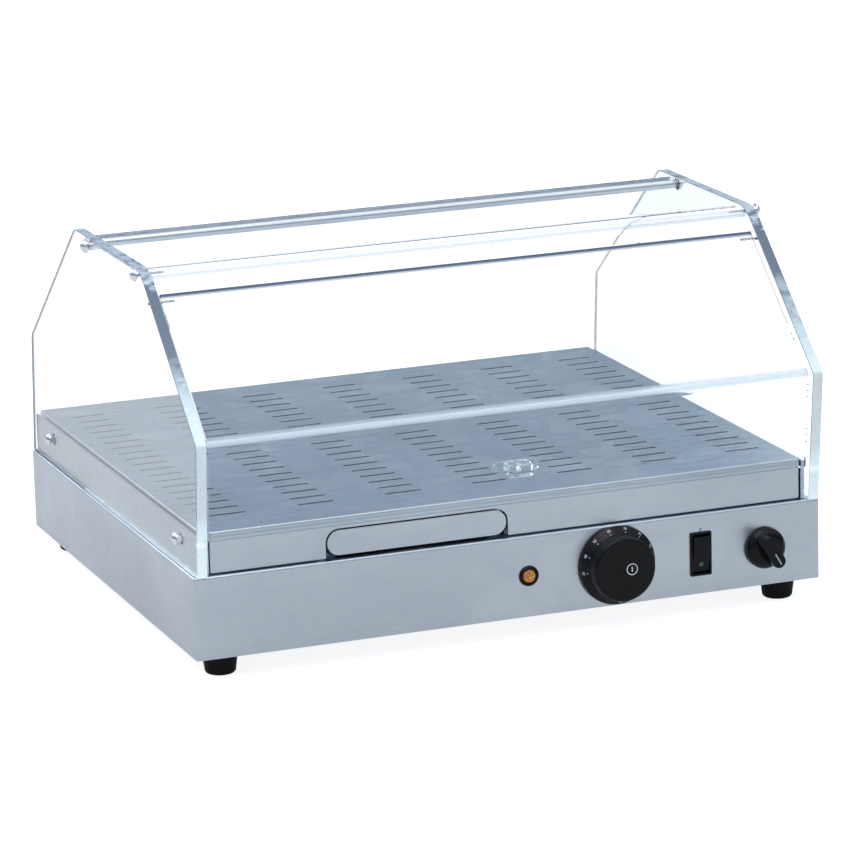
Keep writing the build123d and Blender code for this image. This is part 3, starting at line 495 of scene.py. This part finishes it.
SCALE_START, SCALE_STEP = 185.0, -26.5  # degrees
SCALE_NUMBERS = range(30, 111, 10)
for index, number in enumerate(SCALE_NUMBERS):
    turn = SCALE_START + index * SCALE_STEP
    digits = lettering(f"dial_number_{number}", str(number), 3.4 * MM, INK)
    printed(f"dial_number_{number}", digits, on_skirt(turn, 34.4 * MM), "dial", PRINT_WHITE)
    dot = flat_shape(f"dial_dot_{number}", circle(0.1 * MM, 12), circle(0.5 * MM, 12), INK)
    printed(f"dial_dot_{number}", dot, on_skirt(turn, 31.8 * MM), "dial", PRINT_WHITE)
off_mark = flat_shape("dial_off", circle(0.8 * MM, 20), circle(1.2 * MM, 20), INK)
printed("dial_off", off_mark, on_skirt(-88, 34 * MM), "dial", PRINT_WHITE)

ring = flat_shape("dial_ring", circle(4.6 * MM), circle(5.4 * MM), INK)
printed("dial_ring", ring, on_hub(6.4 * MM), "dial", PRINT_WHITE)
tick = flat_shape("dial_tick", bar(1.0 * MM, 4.6 * MM, 0.1), bar(1.0 * MM, 4.6 * MM), INK)
printed("dial_tick", tick, on_hub(6.4 * MM), "dial", PRINT_WHITE)

SELECTOR_CENTRE = centre_of("selector_shaft")
SELECTOR_TURN = math.radians(-60)
selector_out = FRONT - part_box("selector_knob")[0].y


def on_grip(across, up, lift):
    """Places a flat mark on the selector's grip, UP running along the grip."""
    along, off = Vector((math.cos(SELECTOR_TURN), math.sin(SELECTOR_TURN))), up + 7 * MM
    x, z = along.x * off - along.y * across, along.y * off + along.x * across
    return (SELECTOR_CENTRE.x + x, FRONT - selector_out - lift, SELECTOR_CENTRE.z + z)


pointer = flat_shape("selector_line", bar(1.1 * MM, 12 * MM, 0.1), bar(1.1 * MM, 12 * MM), INK)
printed("selector_line", pointer, on_grip, "selector", PRINT_BLUE)

ROCKER_CENTRE = centre_of("rocker_housing")
rocker_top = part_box("rocker_housing")[1].z


def above_rocker(across, up, lift):
    lean = 0.35 * up
    return (ROCKER_CENTRE.x + across + lean, FRONT - INK / 2 - lift, rocker_top + 2 * MM + up)


position = flat_shape("rocker_tick", bar(1.0 * MM, 3.2 * MM, 0.1), bar(1.0 * MM, 3.2 * MM), INK)
printed("rocker_tick", position, above_rocker, "cabinet", PRINT_BLACK)


# ---------------------------------------------------------------- floor, light and camera
def seen_directly(tree):
    """1 for what the camera sees, straight or through the hood; 0 for what lights or mirrors."""
    path = node(tree, "ShaderNodeLightPath").outputs
    straight = calculate(tree, "MAXIMUM", path["Is Camera Ray"], path["Is Transmission Ray"])
    mirrored = calculate(tree, "ADD", path["Glossy Depth"], path["Diffuse Depth"])
    return calculate(tree, "MULTIPLY", straight, calculate(tree, "LESS_THAN", mirrored, 0.5))


def floor_material():
    """Pale paper: white to the eye, a little darker in the steel, and open from below."""
    mat = bpy.data.materials.new("floor")
    mat.use_nodes = True
    tree = mat.node_tree
    tree.nodes.clear()
    out = node(tree, "ShaderNodeOutputMaterial")
    matt = node(tree, "ShaderNodeBsdfDiffuse")
    glow = node(tree, "ShaderNodeEmission")
    both = node(tree, "ShaderNodeAddShader")
    open_below = node(tree, "ShaderNodeMixShader")
    matt.inputs["Color"].default_value = (0.42, 0.42, 0.42, 1)
    glow.inputs["Color"].default_value = (0.98, 0.99, 1.0, 1)
    tree.links.new(spread(tree, seen_directly(tree), 0.28, 0.86, 0, 1), glow.inputs["Strength"])
    tree.links.new(matt.outputs["BSDF"], both.inputs[0])
    tree.links.new(glow.outputs["Emission"], both.inputs[1])
    underside = node(tree, "ShaderNodeNewGeometry").outputs["Backfacing"]
    tree.links.new(underside, open_below.inputs["Fac"])
    tree.links.new(both.outputs["Shader"], open_below.inputs[1])
    tree.links.new(node(tree, "ShaderNodeBsdfTransparent").outputs["BSDF"], open_below.inputs[2])
    tree.links.new(open_below.outputs["Shader"], out.inputs["Surface"])
    return mat


def add_floor(half=60.0):
    mesh = bpy.data.meshes.new("floor")
    corners = [(-half, -half, 0), (half, -half, 0), (half, half, 0), (-half, half, 0)]
    mesh.from_pydata(corners, [], [(0, 1, 2, 3)])
    mesh.materials.append(floor_material())
    floor = bpy.data.objects.new("floor", mesh)
    bpy.context.scene.collection.objects.link(floor)


def add_sky():
    """White to the eye. In the steel and the chrome: dim at eye level, bright overhead."""
    world = bpy.data.worlds.new("studio")
    bpy.context.scene.world = world
    world.use_nodes = True
    tree = world.node_tree
    tree.nodes.clear()
    split = node(tree, "ShaderNodeSeparateXYZ")
    tree.links.new(coordinates(tree, "Generated"), split.inputs["Vector"])
    height = spread(tree, split.outputs["Z"], 0, 1, -0.2, 1)
    sky = ramp(
        tree,
        height,
        (
            (0.10, (0.36, 0.38, 0.42)),
            (0.19, (0.10, 0.13, 0.19)),
            (0.36, (0.20, 0.26, 0.34)),
            (0.60, (0.50, 0.57, 0.66)),
            (0.85, (1.0, 1.0, 1.0)),
        ),
    )
    studio = node(tree, "ShaderNodeBackground")
    tree.links.new(sky, studio.inputs["Color"])
    studio.inputs["Strength"].default_value = 1.25
    white = node(tree, "ShaderNodeBackground")
    white.inputs["Color"].default_value = (1, 1, 1, 1)
    mix = node(tree, "ShaderNodeMixShader")
    tree.links.new(seen_directly(tree), mix.inputs["Fac"])
    tree.links.new(studio.outputs["Background"], mix.inputs[1])
    tree.links.new(white.outputs["Background"], mix.inputs[2])
    tree.links.new(mix.outputs["Shader"], node(tree, "ShaderNodeOutputWorld").inputs["Surface"])


def add_softbox(name, at, target, size, watts, colour=(1, 1, 1)):
    light = bpy.data.lights.new(name, "AREA")
    light.shape, light.size, light.size_y = "RECTANGLE", *size
    light.energy, light.color = watts, colour
    box = bpy.data.objects.new(name, light)
    box.location = at
    box.rotation_euler = (Vector(target) - Vector(at)).to_track_quat("-Z", "Y").to_euler()
    box.visible_camera = False
    bpy.context.scene.collection.objects.link(box)


def add_camera():
    """Long lens, from the left and a little above."""
    data = bpy.data.cameras.new("camera")
    data.sensor_width, data.lens = 36, 195.71
    data.clip_start, data.clip_end = 0.1, 200
    camera = bpy.data.objects.new("camera", data)
    right = Vector((0.933271, -0.358223, -0.026094))
    up = Vector((0.111775, 0.220624, 0.968933))
    back = right.cross(up)
    turn = Matrix((right, up, back)).transposed().to_4x4()
    camera.matrix_world = Matrix.Translation((-1.46625, -3.92894, 1.20627)) @ turn
    bpy.context.scene.collection.objects.link(camera)
    bpy.context.scene.camera = camera


add_floor()
add_sky()
add_softbox("rear_left", (-1.5, 2.1, 1.3), (0, 0.2, 0.1), (1.4, 1.0), 17, (0.92, 0.96, 1.0))
add_softbox("overhead", (-0.4, -0.9, 2.2), (0, 0, 0.1), (1.6, 1.2), 14)
add_camera()
bpy.context.scene.view_settings.view_transform = "Standard"
bpy.context.scene.cycles.max_bounces = 20
bpy.context.scene.cycles.glossy_bounces = 14
bpy.context.scene.cycles.transmission_bounces = 16
